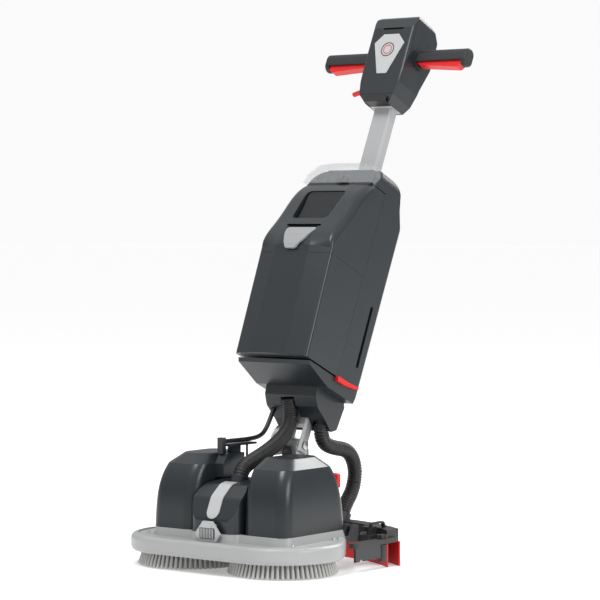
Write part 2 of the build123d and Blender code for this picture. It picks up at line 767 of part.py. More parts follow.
tank_cover.part.label = "tank_cover"
export_step(tank_cover.part, "parts/tank_cover.step")

with BuildPart() as tank_window:
    with BuildSketch(front.offset(80.5)):
        small = [(-47, window_low + 1), (47, window_low + 1), (52, window_high - 1), (-52, window_high - 1)]
        outline(small, 9.5)
    extrude(amount=100)
    with BuildSketch(side):
        outline([(-151, window_low - 4), (-119, window_high + 4), (-114, window_high + 4), (-146, window_low - 4)])
    extrude(amount=60, both=True, mode=Mode.INTERSECT)
tank_window.part.label = "tank_window"
export_step(tank_window.part, "parts/tank_window.step")

with BuildPart() as clean_tank:
    with BuildSketch(column.offset(tank_bottom + 2 * wall)):
        with Locations((0, -78)):
            RectangleRounded(2 * body_half - 4 * wall, 46, 6)
    extrude(amount=200)
    with BuildSketch(column.offset(tank_bottom + 3 * wall)):
        with Locations((0, -78)):
            RectangleRounded(2 * body_half - 6 * wall, 46 - 2 * wall, 4)
    extrude(amount=200 - 2 * wall, mode=Mode.SUBTRACT)
clean_tank.part.label = "clean_tank"
export_step(clean_tank.part, "parts/clean_tank.step")

with BuildPart() as tank_latch:
    with BuildSketch(front.offset(120)):
        blade = [(-42, scoop_high), (42, scoop_high), (29.5, 411), (12.5, scoop_low), (-12.5, scoop_low)]
        outline(blade + [(-29.5, 411)], 5)
    extrude(amount=90)
    with BuildSketch(side):
        skin = [(-198, scoop_low - 3), (-197, 394), (-186, 421), (-170, scoop_high + 3), (-165, scoop_high + 3)]
        outline(skin + [(-180, 420), (-191.5, 394), (-192.5, scoop_low - 3)])
    extrude(amount=50, both=True, mode=Mode.INTERSECT)
tank_latch.part.label = "tank_latch"
export_step(tank_latch.part, "parts/tank_latch.step")

with BuildPart() as side_latch:
    with BuildSketch(side.offset(body_half + 0.3)):
        outline([(-50, 146), (-46, 135), (-12, 136), (30, 143), (32, 150), (-14, 146)], 3)
    extrude(amount=7)
    with BuildSketch(side.offset(body_half - 6)):
        with Locations((side_latch_w, side_latch_u)):
            Circle(side_latch_pin)
    extrude(amount=8)
side_latch.part.label = "side_latch"
export_step(side_latch.part, "parts/side_latch.step")

# ---------------------------------------------------------------- control panel, knob and lid
slope_w = panel_high[0] - panel_low[0]
slope_u = panel_high[1] - panel_low[1]
slope_length = (slope_w**2 + slope_u**2) ** 0.5
bed_normal_w = -slope_u / slope_length
bed_normal_u = slope_w / slope_length
bed_middle = in_row(0, (panel_low[0] + panel_high[0]) / 2, (panel_low[1] + panel_high[1]) / 2)
bed_normal = column.y_dir * bed_normal_w + column.z_dir * bed_normal_u
panel_bed = Plane(origin=bed_middle, x_dir=(1, 0, 0), z_dir=bed_normal)
with BuildPart() as control_panel:
    with BuildSketch(panel_bed):
        low = -slope_length / 2 + 1
        high_edge = slope_length / 2 - 1
        right_edge = [(panel_half, low), (panel_half, 2), (panel_half - 18, high_edge)]
        outline(right_edge + [(-x, v) for x, v in reversed(right_edge)], 8, right_edge[1:] + [(18 - panel_half, high_edge)])
    extrude(amount=panel_thickness)
    with BuildSketch(panel_bed):
        with Locations((0, low + 13)):
            Circle(3 + running_gap)
    extrude(amount=panel_thickness, mode=Mode.SUBTRACT)
control_panel.part.label = "control_panel"
export_step(control_panel.part, "parts/control_panel.step")

knob_place = (0, low + 13)
with BuildPart() as speed_knob:
    with BuildSketch(panel_bed.offset(panel_thickness + 0.3)):
        with Locations(knob_place):
            Circle(knob_radius - 2)
    extrude(amount=7)
    with BuildSketch(panel_bed.offset(0.5)):
        with Locations(knob_place):
            Circle(3)
    extrude(amount=panel_thickness)
    with BuildSketch(panel_bed.offset(panel_thickness + 7.3)):
        with Locations(knob_place):
            Rectangle(4, 20)
    extrude(amount=2)
speed_knob.part.label = "speed_knob"
export_step(speed_knob.part, "parts/speed_knob.step")



def lid_shape(inset):
    """The lid's outer shape, shrunk by inset: a bent side profile under an arched front profile."""
    with BuildPart() as shape:
        with BuildSketch(side):
            shell = [(-101 + inset, tank_top + 5 - inset / 2), (-86 + inset, 633 - inset / 2)]
            shell += [(-68, 646 - inset), (-47 - inset, 645 - inset), (-47 - inset, body_top + 2)]
            shell += [(-58, body_top + 2), (-87, tank_top + 5 - inset / 2)]
            outline(shell, 8 - inset, shell[1:3])
        extrude(amount=lid_half, both=True)
        with BuildSketch(front.offset(30)):
            right = [(lid_half - inset, tank_top - 10), (lid_half - inset, 606), (lid_half - 18 - inset, 630)]
            right += [(40, 646 - inset / 2)]
            outline(right + [(-x, u) for x, u in reversed(right)], 14, right[1:3] + [(-x, u) for x, u in right[1:3]])
        extrude(amount=90, mode=Mode.INTERSECT)
    return shape.part


lid_outside = lid_shape(0)
lid_inside = lid_shape(lid_wall)
with BuildPart() as clear_lid:
    add(lid_outside)
    add(lid_inside, mode=Mode.SUBTRACT)
clear_lid.part.label = "clear_lid"
export_step(clear_lid.part, "parts/clear_lid.step")


# ---------------------------------------------------------------- head
def head_shape(inset):
    """The head's outer shape, shrunk by inset: side profile, front profile and rounded plan."""
    low = head_bottom + inset
    crown = head_top - inset
    with BuildPart() as shape:
        with BuildSketch(side):
            face = [(inset - head_depth, crown - 34), (inset - 42, crown - 8), (inset - 34, crown)]
            back = [(8 - inset, crown), (28 - inset, crown - 12), (46 - inset, crown - 32)]
            back += [(head_depth - inset, crown - 54), (44 - inset, crown - 102), (30 - inset, 871)]
            foot = [(22 - inset, low), (-38, low), (inset - head_depth, low + 18)]
            outline(face + back + foot, 6, [face[0], face[2], back[0], back[2], back[3], foot[2]])
        extrude(amount=head_half, both=True)
        with BuildSketch(front.offset(-70)):
            sides = [(32, low - 1), (46 - inset, low + 17), (head_half - 6 - inset, head_bottom + 50)]
            sides += [(head_half - inset, head_bottom + 125), (head_half - inset, crown)]
            mirrored = [(-x, u) for x, u in reversed(sides)]
            outline(sides + mirrored, 14, [sides[-1], mirrored[0]])
        extrude(amount=140, mode=Mode.INTERSECT)
        with BuildSketch(column.offset(low - 2)):
            RectangleRounded(2 * (head_half - inset), 2 * (head_depth - inset), 9)
        extrude(amount=crown - low + 4, mode=Mode.INTERSECT)
    return shape.part


head_outside = head_shape(0)
head_inside = head_shape(head_wall)
collar_middle = (collar_front + collar_rear) / 2
collar_depth = collar_rear - collar_front
plate_points = [(-20.5, 977), (20.5, 977), (41, 955), (13, 878), (-13, 878), (-41, 955)]
pocket_points = [(-21, 977.5), (21, 977.5), (41.6, 955), (13.4, 877.5), (-13.4, 877.5), (-41.6, 955)]
flow_lever_w = -29.0
flow_lever_u = 848.0
flow_pivot_x = 9 - head_half
flow_hub = 3.0
flow_hub_half = 8.0
with BuildPart() as head_front:
    add(head_outside)
    with BuildSketch(side.offset(-grip_start)):
        with Locations((grip_w, grip_u - 4)):
            RegularPolygon(27, 8, rotation=22.5)
    extrude(amount=2 * grip_start)
    add(head_inside, mode=Mode.SUBTRACT)
    with BuildSketch(column.offset(head_bottom - 10)):
        with Locations((0, head_split + 50)):
            Rectangle(200, 100)
    extrude(amount=240, mode=Mode.SUBTRACT)
    with BuildSketch(column.offset(head_bottom - 10)):
        with Locations((0, collar_middle)):
            Rectangle(2 * (collar_half + slip), collar_depth + 2 * slip)
    extrude(amount=20, mode=Mode.SUBTRACT)
    # notch at the foot, seam slot near the top, pocket for the plate and slot for the lever
    with BuildSketch(front.offset(10)):
        with Locations((0, head_bottom)):
            Rectangle(2 * collar_half + 2, 28)
    extrude(amount=60, mode=Mode.SUBTRACT)
    with BuildSketch(front.offset(40)):
        with Locations((0, 992)):
            SlotOverall(56, 4)
    extrude(amount=20, mode=Mode.SUBTRACT)
    with BuildSketch(front.offset(head_depth - 1.5)):
        outline(pocket_points)
    extrude(amount=20, mode=Mode.SUBTRACT)
    with BuildSketch(side.offset(-70)):
        with Locations((flow_lever_w, flow_lever_u)):
            SlotOverall(24, 9, rotation=90)
    extrude(amount=25, mode=Mode.SUBTRACT)
    with BuildSketch(front.offset(-flow_lever_w - flow_hub_half)):
        with Locations((flow_pivot_x, flow_lever_u)):
            Circle(flow_hub + running_gap)
    extrude(amount=2 * flow_hub_half, mode=Mode.SUBTRACT)
head_front.part.label = "head_front"
export_step(head_front.part, "parts/head_front.step")

with BuildPart() as head_rear:
    add(head_outside)
    add(head_inside, mode=Mode.SUBTRACT)
    with BuildSketch(column.offset(head_bottom - 10)):
        with Locations((0, head_split + 0.3 - 60)):
            Rectangle(200, 120)
    extrude(amount=240, mode=Mode.SUBTRACT)
    with BuildSketch(column.offset(head_bottom - 10)):
        with Locations((0, collar_middle)):
            Rectangle(2 * (collar_half + slip), collar_depth + 2 * slip)
    extrude(amount=20, mode=Mode.SUBTRACT)
head_rear.part.label = "head_rear"
export_step(head_rear.part, "parts/head_rear.step")

with BuildPart() as head_plate:
    with BuildSketch(front.offset(head_depth - 1.5)):
        outline(plate_points)
    extrude(amount=3)
head_plate.part.label = "head_plate"
export_step(head_plate.part, "parts/head_plate.step")

with BuildPart() as head_collar:
    with BuildSketch(column.offset(head_bottom)):
        with Locations((0, collar_middle)):
            Rectangle(2 * collar_half, collar_depth)
        Rectangle(column_width + 2 * slip, column_depth + 2 * slip, mode=Mode.SUBTRACT)
    extrude(amount=collar_height)
head_collar.part.label = "head_collar"
export_step(head_collar.part, "parts/head_collar.step")

# ---------------------------------------------------------------- grips and triggers
grip_end = grip_start + grip_length
trigger_start = grip_start + 1
trigger_stop = grip_end - grip_hook - 1
trigger_pin_x = grip_start + 8
trigger_pin_u = grip_u - 12
for side_name, sign in SIDES:
    with BuildPart() as grip:
        with BuildSketch(side.offset(sign * grip_start)):
            with Locations((grip_w, grip_u - 6)):
                SlotCenterToCenter(12, 2 * grip_radius, rotation=90)
        extrude(amount=sign * grip_length)
        fillet(grip.faces().sort_by(Axis.X)[-1 if sign > 0 else 0].edges(), 5)
        with BuildSketch(side.offset(sign * grip_start)):
            with Locations((grip_w, grip_u - 32)):
                Rectangle(3 * grip_radius, 32)
        extrude(amount=sign * (grip_length - grip_hook), mode=Mode.SUBTRACT)
        with BuildSketch(side.offset(sign * grip_start)):
            with Locations((grip_w, grip_u - 16)):
                Rectangle(2 * (trigger_half + trigger_gap), 32)
        extrude(amount=sign * (grip_length - grip_hook), mode=Mode.SUBTRACT)
        with BuildSketch(front.offset(-grip_w - grip_radius + 1)):
            with Locations((sign * trigger_pin_x, trigger_pin_u)):
                Circle(trigger_pin)
        extrude(amount=2 * grip_radius - 2)
    grip.part.label = f"grip_{side_name}"
    export_step(grip.part, f"parts/grip_{side_name}.step")

    with BuildPart() as trigger:
        with BuildSketch(front.offset(-grip_w - trigger_half)):
            top = [(trigger_start, grip_u - 7), (trigger_stop, grip_u - 10)]
            under = [(trigger_stop, grip_u - 26), (trigger_stop - 8, grip_u - 32), (trigger_start + 8, grip_u - 24)]
            bar = top + under + [(trigger_start, grip_u - 18)]
            outline([(sign * x, u) for x, u in bar], 3, [(sign * x, u) for x, u in under[1:]])
            with Locations((sign * trigger_pin_x, trigger_pin_u)):
                Circle(trigger_pin + running_gap, mode=Mode.SUBTRACT)
        extrude(amount=2 * trigger_half)
    trigger.part.label = f"trigger_{side_name}"
    export_step(trigger.part, f"parts/trigger_{side_name}.step")

with BuildPart() as flow_lever:
    with BuildSketch(front.offset(-flow_lever_w - flow_hub_half + 0.2)):
        with Locations((flow_pivot_x, flow_lever_u)):
            Circle(flow_hub)
    extrude(amount=2 * flow_hub_half - 0.4)
    with BuildSketch(front.offset(-flow_lever_w - 3.5)):
        root = [(flow_pivot_x + 3, flow_lever_u + 5), (flow_pivot_x + 3, flow_lever_u - 5)]
        outline(root + [(-80, 832), (-83, 840)], 2)
    extrude(amount=7)
flow_lever.part.label = "flow_lever"
export_step(flow_lever.part, "parts/flow_lever.step")

# ---------------------------------------------------------------- squeegee
sagitta = bar_middle_y - bar_end_y
bar_radius = (bar_reach**2 + sagitta**2) / (2 * sagitta)
bar_centre_y = line + bar_middle_y - bar_radius


def bar_band(inner, outer, reach):
    """A curved band along the squeegee, between two radii, cut off at reach to each side."""
    with Locations((0, bar_centre_y)):
        Circle(bar_radius + outer)
        Circle(bar_radius + inner, mode=Mode.SUBTRACT)
    with Locations((0, line + bar_middle_y)):
        Rectangle(2 * reach, 260, mode=Mode.INTERSECT)


pickup = Plane(origin=(REAR_BASE[-1][0], line + bar_middle_y - 3, bar_top), x_dir=(1, 0, 0), z_dir=(0, 0.5, 0.866))
roller_pin = 3.0
roller_y = line + 187
guard_rear = 175.0
with BuildPart() as squeegee_bar:
    with BuildSketch(Plane.XY.offset(bar_bottom)):
        bar_band(-bar_half, bar_half, bar_reach)
    extrude(amount=bar_top - bar_bottom)
    for sign in (-1, 1):
        with BuildSketch(Plane.XY.offset(bar_bottom)):
            with Locations((sign * (wing_inner + wing_outer) / 2, line + (wing_front + bar_end_y) / 2)):
                RectangleRounded(wing_outer - wing_inner, bar_end_y - wing_front + 16, 8)
        extrude(amount=10)
        with Locations((sign * guard_x, roller_y, bar_bottom + 5)):
            Cylinder(roller_pin + running_gap, 12, mode=Mode.SUBTRACT)
        with BuildSketch(Plane.XY.offset(bar_bottom)):
            with Locations((sign * (hinge_x + 16), line + (hinge_y + 260) / 2 + 8)):
                RectangleRounded(52, 260 - hinge_y - 8, 8)
        extrude(amount=14)
        with BuildSketch(Plane.YZ.offset(sign * (hinge_x + 30))):
            arch = [(line + 190, 66), (line + 196, 92), (line + 240, 92), (line + 252, 70)]
            outline(arch, 8, arch[1:3])
            inner_arch = [(line + 194, 60), (line + 199, 88), (line + 237, 88), (line + 247, 64)]
            with BuildLine():
                Polyline(*inner_arch, close=True)
            make_face(mode=Mode.SUBTRACT)
        extrude(amount=sign * 8)
        with Locations(Location((sign * hinge_x, line + hinge_y, hinge_z), (0, 90, 0))):
            Cylinder(6, 12)
        with Locations((sign * hinge_x, line + hinge_y + 12, 70)):
            Box(12, 24, 12)
        with Locations(Location((sign * hinge_x, line + hinge_y, hinge_z), (0, 90, 0))):
            Cylinder(hinge_pin + running_gap, 14, mode=Mode.SUBTRACT)
    with BuildSketch(pickup.offset(-12)):
        Circle(hose_radius + 4)
    extrude(amount=28)
    with BuildSketch(pickup.offset(6)):
        Circle(hose_radius + socket_gap)
    extrude(amount=20, mode=Mode.SUBTRACT)
    with BuildSketch(pickup.offset(-40)):
        Circle(hose_radius - 5)
    extrude(amount=60, mode=Mode.SUBTRACT)
    with BuildSketch(Plane.XY.offset(bar_bottom - 30)):
        bar_band(-bar_half - 20, bar_half + 20, bar_reach)
    extrude(amount=30, mode=Mode.SUBTRACT)
squeegee_bar.part.label = "squeegee_bar"
export_step(squeegee_bar.part, "parts/squeegee_bar.step")

with BuildPart() as squeegee_blades:
    with BuildSketch(Plane.XY):
        bar_band(bar_half - blade_thickness, bar_half, bar_reach + 10)
    extrude(amount=bar_bottom)
    with BuildSketch(Plane.XY):
        bar_band(-bar_half, -bar_half + blade_thickness, bar_reach)
    extrude(amount=bar_bottom)
squeegee_blades.part.label = "squeegee_blades"
export_step(squeegee_blades.part, "parts/squeegee_blades.step")

# ---------------------------------------------------------------- splash guards, rollers and knobs
guard_low = 22.0
with BuildPart() as splash_guards:
    for sign in (-1, 1):
        with BuildSketch(Plane.YZ.offset(sign * guard_x)):
            with Locations((line + (wing_front + guard_rear) / 2, (guard_low + bar_bottom) / 2)):
                Rectangle(guard_rear - wing_front, bar_bottom - guard_low)
            with Locations((line + wing_front + 22, guard_low - 4), (line + wing_front + 50, guard_low - 5)):
                Circle(9, mode=Mode.SUBTRACT)
            with Locations((line + wing_front + 76, guard_low - 6)):
                Circle(10, mode=Mode.SUBTRACT)
        extrude(amount=sign * 5)
splash_guards.part.label = "splash_guards"
export_step(splash_guards.part, "parts/splash_guards.step")

for side_name, sign in SIDES:
    with BuildPart() as guide_roller:
        with Locations((sign * guard_x, roller_y, 32)):
            Cylinder(roller_radius, 36)
        with Locations((sign * guard_x, roller_y, 57)):
            Cylinder(roller_pin, 14)
        with BuildSketch(Plane.XY.offset(bar_bottom + 10.5)):
            with Locations((sign * guard_x, roller_y)):
                Circle(9)
                with PolarLocations(9, 6):
                    Circle(3)
        extrude(amount=8)
    guide_roller.part.label = f"guide_roller_{side_name}"
    export_step(guide_roller.part, f"parts/guide_roller_{side_name}.step")

    clamp_x = sign * (hinge_x + 18)
    clamp_y = line + 214
    with BuildPart() as clamp_knob:
        with BuildSketch(Plane.XY.offset(bar_bottom + 14.3)):
            with Locations((clamp_x, clamp_y)):
                Circle(6)
        extrude(amount=6)
        with BuildSketch(Plane.XY.offset(bar_bottom + 20.3)):
            with Locations((clamp_x, clamp_y)):
                Circle(12)
                with PolarLocations(12, 6):
                    Circle(4)
        extrude(amount=9)
    clamp_knob.part.label = f"clamp_knob_{side_name}"
    export_step(clamp_knob.part, f"parts/clamp_knob_{side_name}.step")

# ---------------------------------------------------------------- hinge blocks and lift lever
lever_x = 125.0
lever_y = 176.0
lever_z = 92.0
lever_pin = 3.0
lever_half = 3.0
lug_low = lip_bottom + 22
with BuildPart() as squeegee_mounts:
    for sign in (-1, 1):
        for offset, lug_front in ((7, 134), (-13, 146)):
            with BuildSketch(Plane.YZ.offset(sign * (hinge_x + offset))):
                lug = [(lug_front, lug_low), (178, lug_low), (182, hinge_z - 10), (182, hinge_z + 8), (164, hinge_z + 10)]
                lug += [(152, lug_low + 14), (lug_front, lug_low + 12)]
                outline([(line + y, z) for y, z in lug], 4, [(line + y, z) for y, z in lug[1:5]])
            extrude(amount=sign * 6)
        with Locations(Location((sign * hinge_x, line + hinge_y, hinge_z), (0, 90, 0))):
            Cylinder(hinge_pin, 26)
    for offset in (-lever_half - 5.5, lever_half + 0.5):
        with BuildSketch(Plane.YZ.offset(lever_x + offset)):
            lug = [(154, lug_low), (180, lug_low), (187, lever_z - 8), (187, lever_z + 8), (166, lever_z + 8)]
            lug += [(154, lever_z - 14)]
            outline([(line + y, z) for y, z in lug], 4, [(line + y, z) for y, z in lug[1:5]])
        extrude(amount=5)
    with Locations(Location((lever_x, line + lever_y, lever_z), (0, 90, 0))):
        Cylinder(lever_pin, 2 * lever_half + 11)
    add(deck_shell.part, mode=Mode.SUBTRACT)
squeegee_mounts.part.label = "squeegee_mounts"
export_step(squeegee_mounts.part, "parts/squeegee_mounts.step")

with BuildPart() as lift_lever:
    with BuildSketch(Plane.YZ.offset(lever_x - lever_half)):
        with Locations((line + lever_y, lever_z)):
            Circle(9)
        with Locations((line + lever_y, (lever_z + 172) / 2)):
            Rectangle(11, 172 - lever_z)
        with Locations((line + lever_y, lever_z)):
            Circle(lever_pin + running_gap, mode=Mode.SUBTRACT)
    extrude(amount=2 * lever_half)
    with BuildSketch(Plane.XY.offset(164)):
        with Locations((lever_x, line + lever_y)):
            RectangleRounded(26, 15, 5)
    extrude(amount=30)
    fillet(lift_lever.faces().sort_by(Axis.Z)[-1].edges(), 4)
lift_lever.part.label = "lift_lever"
export_step(lift_lever.part, "parts/lift_lever.step")

# ---------------------------------------------------------------- hoses and water tube
HOSES = (
    ("front_hose_lower", FRONT_LOWER + (FRONT_SEAM,), hose_radius),
    ("front_hose_upper", (FRONT_SEAM,) + FRONT_UPPER, hose_radius),
    ("rear_hose_top", REAR_TOP + (REAR_SEAM_HIGH,), hose_radius),
    ("rear_hose_middle", (REAR_SEAM_HIGH,) + REAR_MIDDLE + (REAR_SEAM_LOW,), hose_radius),
    ("rear_hose_base", (REAR_SEAM_LOW,) + REAR_BASE, hose_radius),
    ("water_tube_lower", TUBE_LOWER + (TUBE_SEAM,), tube_radius),
    ("water_tube_upper", (TUBE_SEAM,) + TUBE_UPPER, tube_radius),
)
for name, route, radius in HOSES:
    points = [on_deck(point) for point in route]
    runs = [b - a for a, b in zip(points, points[1:])]
    radii = []
    for before, after in zip(runs, runs[1:]):
        half_turn = radians(before.get_angle(after)) / 2
        radii.append(0.45 * min(before.length, after.length) / tan(half_turn))
    with BuildPart() as hose:
        with BuildLine() as path:
            FilletPolyline(*points, radius=radii)
        with BuildSketch(Plane(origin=points[0], z_dir=runs[0])):
            Circle(radius)
        sweep(path=path.line)
    length = sum(edge.length for edge in path.edges())
    ratio = hose.part.volume / (pi * radius**2 * length)
    print(name, "length", round(length, 1), "volume ratio", round(ratio, 4), "radii", [round(r) for r in radii])
    hose.part.label = name
    export_step(hose.part, f"parts/{name}.step")
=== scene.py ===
import json
import math

import bpy
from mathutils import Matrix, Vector


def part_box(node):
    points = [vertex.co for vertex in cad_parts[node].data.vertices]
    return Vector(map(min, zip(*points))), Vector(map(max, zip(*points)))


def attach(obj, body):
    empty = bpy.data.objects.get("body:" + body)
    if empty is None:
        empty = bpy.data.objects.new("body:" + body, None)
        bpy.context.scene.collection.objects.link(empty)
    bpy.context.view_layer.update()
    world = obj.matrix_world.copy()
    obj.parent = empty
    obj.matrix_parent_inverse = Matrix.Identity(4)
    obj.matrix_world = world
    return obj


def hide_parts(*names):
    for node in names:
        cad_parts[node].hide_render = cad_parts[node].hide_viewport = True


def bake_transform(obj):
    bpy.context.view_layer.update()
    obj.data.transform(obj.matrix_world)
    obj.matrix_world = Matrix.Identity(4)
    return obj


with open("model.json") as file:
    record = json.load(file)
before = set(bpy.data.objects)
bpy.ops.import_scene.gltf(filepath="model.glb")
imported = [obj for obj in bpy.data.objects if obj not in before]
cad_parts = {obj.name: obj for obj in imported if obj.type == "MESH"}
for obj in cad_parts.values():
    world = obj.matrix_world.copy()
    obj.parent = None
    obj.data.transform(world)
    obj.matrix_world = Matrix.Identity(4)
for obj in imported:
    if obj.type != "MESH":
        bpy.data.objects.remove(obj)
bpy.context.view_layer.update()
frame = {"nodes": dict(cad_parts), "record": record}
nodes = frame["nodes"]

# The brush line is where both brushes turn, and the knuckle's pitch axis is behind it. The column
# leans back from there: across is X, behind is the way its back faces, and along runs up it.
BRUSH_LINE = -0.268
JOINT = Vector((0, BRUSH_LINE + 0.201, 0.246))
LEAN = math.radians(24.5)
BEHIND = Vector((0, math.cos(LEAN), -math.sin(LEAN)))
ALONG = Vector((0, math.sin(LEAN), math.cos(LEAN)))


def on_column(across, behind, along):
    """A point of the leaning column, in metres."""
    return JOINT + Vector((across, 0, 0)) + BEHIND * behind + ALONG * along


# ------------------------------------------------------------------ camera
# A long lens from in front of the machine's right-hand corner, a little above half its height.
camera = bpy.data.objects.new("camera", bpy.data.cameras.new("camera"))
bpy.context.scene.collection.objects.link(camera)
camera.data.lens = 147.74
camera.data.sensor_width = 36.0
camera.location = (3.2733, BRUSH_LINE - 4.0124, 0.7318)
camera.rotation_euler = (math.radians(90 - 1.839), 0, math.radians(37.735))
bpy.context.scene.camera = camera

# ------------------------------------------------------------------ finishes
# One node group gives every hard surface its grain, its soft blotches and its dust near the floor.
# Each material then states its own colour, gloss and grain.
finish_group = bpy.data.node_groups.new("worn surface", "ShaderNodeTree")
for label, kind, default in (
    ("Colour", "NodeSocketColor", (0.5, 0.5, 0.5, 1)),
    ("Roughness", "NodeSocketFloat", 0.4),
    ("Grain per metre", "NodeSocketFloat", 1500.0),
    ("Grain depth", "NodeSocketFloat", 0.3),
    ("Wear", "NodeSocketFloat", 0.3),
):
    socket = finish_group.interface.new_socket(label, in_out="INPUT", socket_type=kind)
    socket.default_value = default
for label, kind in (
    ("Colour", "NodeSocketColor"),
    ("Roughness", "NodeSocketFloat"),
    ("Normal", "NodeSocketVector"),
):
    finish_group.interface.new_socket(label, in_out="OUTPUT", socket_type=kind)
tree = finish_group.nodes
link = finish_group.links.new
given = tree.new("NodeGroupInput")
made = tree.new("NodeGroupOutput")
place = tree.new("ShaderNodeTexCoord")
grain = tree.new("ShaderNodeTexNoise")
grain.inputs["Detail"].default_value = 3
blotch = tree.new("ShaderNodeTexNoise")
blotch.inputs["Scale"].default_value = 14
blotch.inputs["Detail"].default_value = 1
scuff_stretch = tree.new("ShaderNodeMapping")
scuff_stretch.inputs["Scale"].default_value = (220, 60, 14)
scuff_stretch.inputs["Rotation"].default_value = (0.5, 0.3, 0.2)
scuff = tree.new("ShaderNodeTexNoise")
scuff.inputs["Scale"].default_value = 1.0
scuff_edge = tree.new("ShaderNodeValToRGB")
scuff_edge.color_ramp.elements[0].position = 0.66
scuff_edge.color_ramp.elements[1].position = 0.74
height = tree.new("ShaderNodeSeparateXYZ")
dust = tree.new("ShaderNodeMapRange")
dust.inputs["From Min"].default_value = 0.10
dust.inputs["From Max"].default_value = 0.0
scuff_amount = tree.new("ShaderNodeMath")
scuff_amount.operation = "MULTIPLY"
dust_amount = tree.new("ShaderNodeMath")
dust_amount.operation = "MULTIPLY"
shade = tree.new("ShaderNodeMix")
shade.data_type = "RGBA"
shade.inputs["B"].default_value = (0.34, 0.33, 0.31, 1)
lighter = tree.new("ShaderNodeMix")
lighter.data_type = "RGBA"
lighter.inputs["B"].default_value = (0.16, 0.16, 0.16, 1)
softness = tree.new("ShaderNodeMapRange")
softness.inputs["To Min"].default_value = -0.04
softness.inputs["To Max"].default_value = 0.05
gloss = tree.new("ShaderNodeMath")
relief = tree.new("ShaderNodeBump")
relief.inputs["Distance"].default_value = 0.0004
link(place.outputs["Object"], grain.inputs["Vector"])
link(place.outputs["Object"], blotch.inputs["Vector"])
link(place.outputs["Object"], scuff_stretch.inputs["Vector"])
link(scuff_stretch.outputs["Vector"], scuff.inputs["Vector"])
link(given.outputs["Grain per metre"], grain.inputs["Scale"])
link(scuff.outputs["Fac"], scuff_edge.inputs["Fac"])
link(scuff_edge.outputs["Color"], scuff_amount.inputs[0])
link(given.outputs["Wear"], scuff_amount.inputs[1])
link(place.outputs["Object"], height.inputs["Vector"])
link(height.outputs["Z"], dust.inputs["Value"])
link(dust.outputs["Result"], dust_amount.inputs[0])
link(given.outputs["Wear"], dust_amount.inputs[1])
link(given.outputs["Colour"], shade.inputs["A"])
link(dust_amount.outputs["Value"], shade.inputs["Factor"])
link(shade.outputs["Result"], lighter.inputs["A"])
link(scuff_amount.outputs["Value"], lighter.inputs["Factor"])
link(blotch.outputs["Fac"], softness.inputs["Value"])
link(given.outputs["Roughness"], gloss.inputs[0])
link(softness.outputs["Result"], gloss.inputs[1])
link(grain.outputs["Fac"], relief.inputs["Height"])
link(given.outputs["Grain depth"], relief.inputs["Strength"])
link(lighter.outputs["Result"], made.inputs["Colour"])
link(gloss.outputs["Value"], made.inputs["Roughness"])
link(relief.outputs["Normal"], made.inputs["Normal"])


def finish_material(name, colour, roughness, grain_scale, grain_depth, wear, metallic=0.0):
    """A material of the shared worn surface, with its own colour, gloss and grain."""
    material = bpy.data.materials.new(name)
    material.use_nodes = True
    shader = material.node_tree.nodes["Principled BSDF"]
    surface = material.node_tree.nodes.new("ShaderNodeGroup")
    surface.node_tree = finish_group
    surface.inputs["Colour"].default_value = (*colour, 1)
    surface.inputs["Roughness"].default_value = roughness
    surface.inputs["Grain per metre"].default_value = grain_scale
    surface.inputs["Grain depth"].default_value = grain_depth
    surface.inputs["Wear"].default_value = wear
    shader.inputs["Metallic"].default_value = metallic
    material.node_tree.links.new(surface.outputs["Colour"], shader.inputs["Base Color"])
    material.node_tree.links.new(surface.outputs["Roughness"], shader.inputs["Roughness"])
    material.node_tree.links.new(surface.outputs["Normal"], shader.inputs["Normal"])
    return material


FINISHES = {
    "body_plastic": ((0.014, 0.0185, 0.022), 0.34, 1700, 0.08, 0.015),
    "tank_plastic": ((0.016, 0.021, 0.025), 0.30, 1700, 0.06, 0.015),
    "cover_plastic": ((0.014, 0.0185, 0.022), 0.30, 1500, 0.08, 0.015),
    "deck_plastic": ((0.36, 0.365, 0.365), 0.36, 1300, 0.10, 0.05),
    "black_plastic": ((0.012, 0.012, 0.013), 0.48, 1200, 0.25, 0.10),
    "red_plastic": ((0.62, 0.001, 0.002), 0.42, 1800, 0.08, 0.02),
    "silver_plastic": ((0.46, 0.465, 0.47), 0.32, 2000, 0.05, 0.03),
    "bristle": ((0.56, 0.56, 0.54), 0.55, 900, 0.30, 0.10),
    "hose": ((0.010, 0.010, 0.011), 0.42, 1500, 0.15, 0.05),
    "tube": ((0.014, 0.014, 0.015), 0.38, 1500, 0.10, 0.05),
    "blade_rubber": ((0.60, 0.004, 0.004), 0.48, 1100, 0.15, 0.03),
    "grip_rubber": ((0.014, 0.015, 0.017), 0.52, 1000, 0.40, 0.08),
    "panel_face": ((0.010, 0.011, 0.013), 0.20, 1800, 0.04, 0.02),
    "battery_case": ((0.04, 0.04, 0.045), 0.50, 1200, 0.2, 0.1),
    "dark_metal": ((0.055, 0.058, 0.062), 0.42, 800, 0.35, 0.2),
}
materials = {name: finish_material(name, *values) for name, values in FINISHES.items()}
materials["scoop_grey"] = finish_material("scoop_grey", (0.30, 0.31, 0.315), 0.32, 1800, 0.06, 0.03)
column_grey = (0.40, 0.405, 0.41)
materials["column_metal"] = finish_material("column_metal", column_grey, 0.42, 2600, 0.06, 0.03, 0.25)
materials["steel"] = finish_material("steel", (0.60, 0.60, 0.61), 0.24, 1400, 0.12, 0.05, 1.0)

